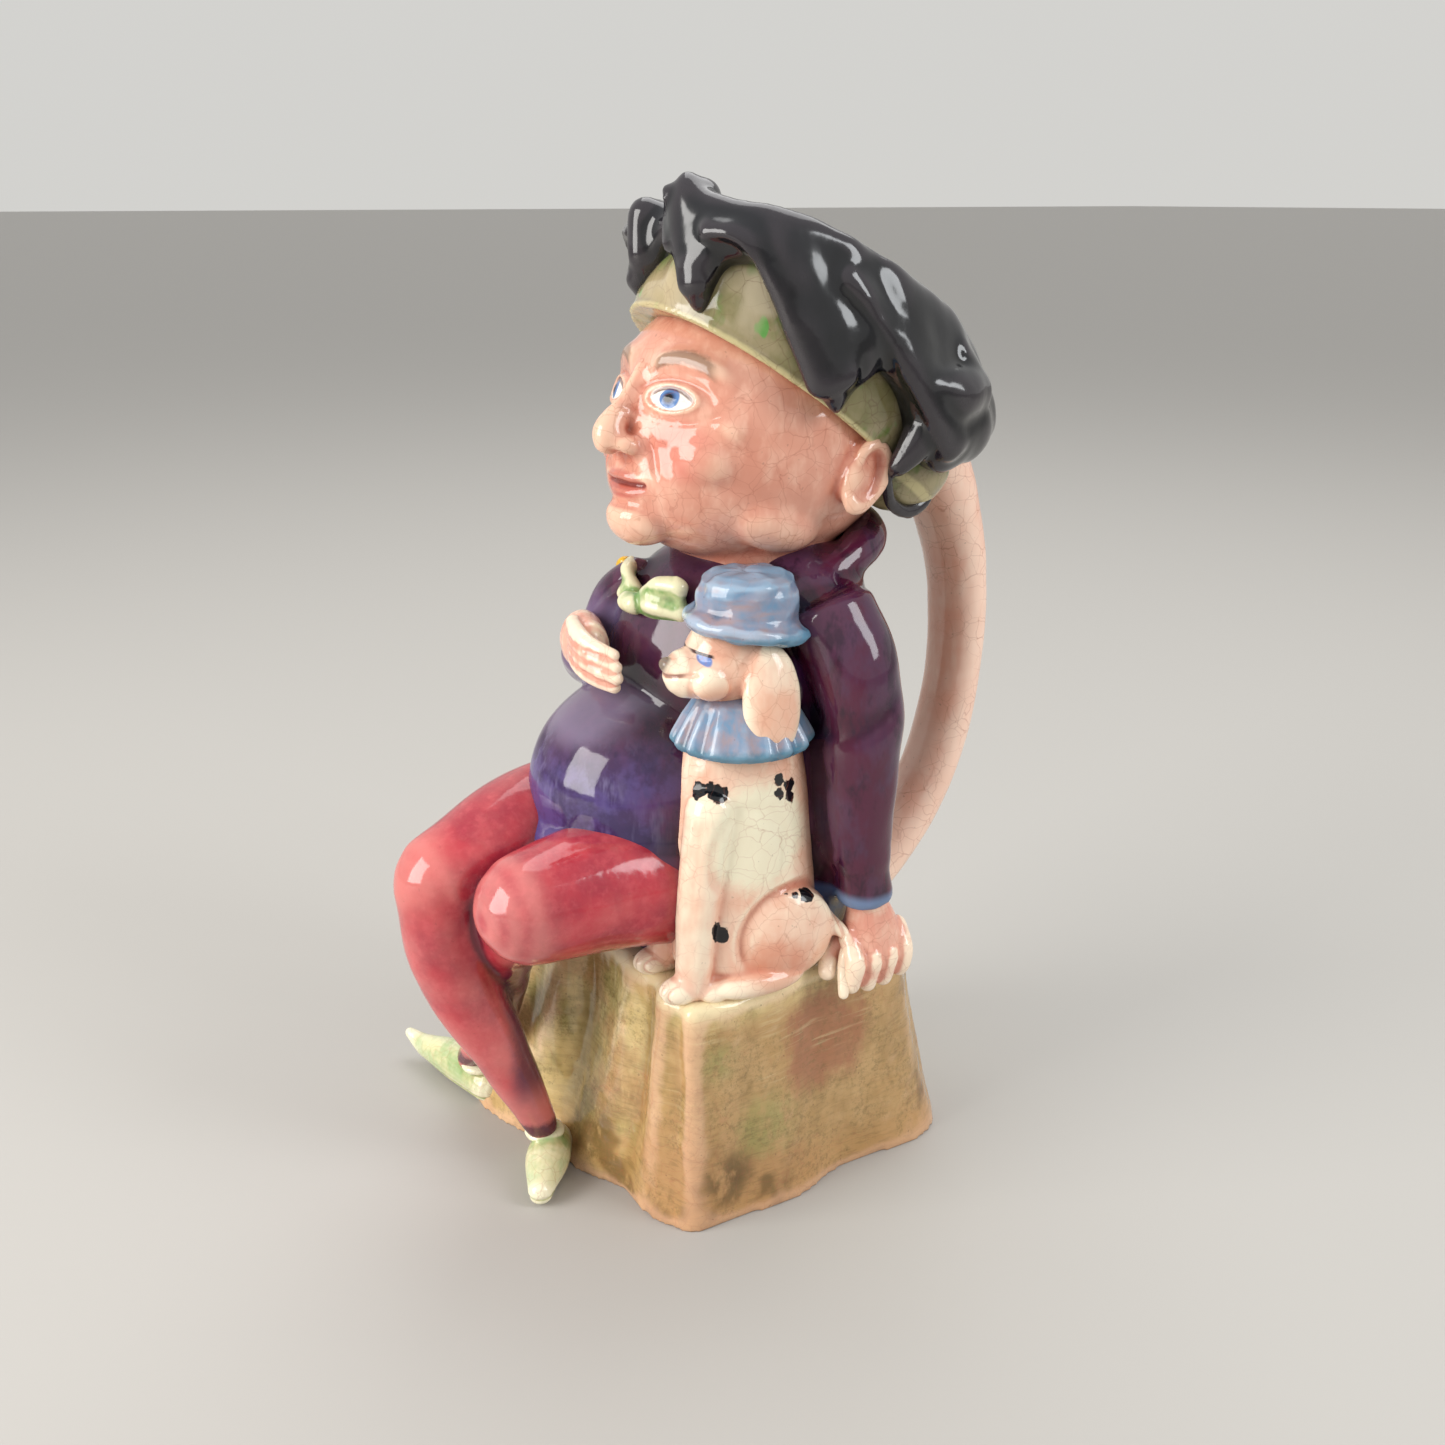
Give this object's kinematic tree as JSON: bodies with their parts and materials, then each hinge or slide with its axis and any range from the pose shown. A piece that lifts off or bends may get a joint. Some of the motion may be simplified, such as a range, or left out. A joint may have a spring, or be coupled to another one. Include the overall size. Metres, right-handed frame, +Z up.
{
  "type": "toby jug",
  "caption": "Glazed figural jug: a man in a cap sits on a rock with a small dog in a hat and ruff, a loop handle behind, and the jug's mouth in the brim of his cap",
  "frame": {"origin": "on the table, under the middle of the jug's bounding box", "axes": "+Z up, the man faces -Y, his left arm and the dog are on the +X side, the handle is towards +Y"},
  "size_m": [0.0926, 0.1272, 0.19],
  "materials": {
    "glazed_earthenware": "hand painted under a clear gloss glaze: black, olive, plum, crimson and cream, with fine crazing"
  },
  "bodies": {
    "root": {"jug": "glazed_earthenware"}
  },
  "joints": []
}
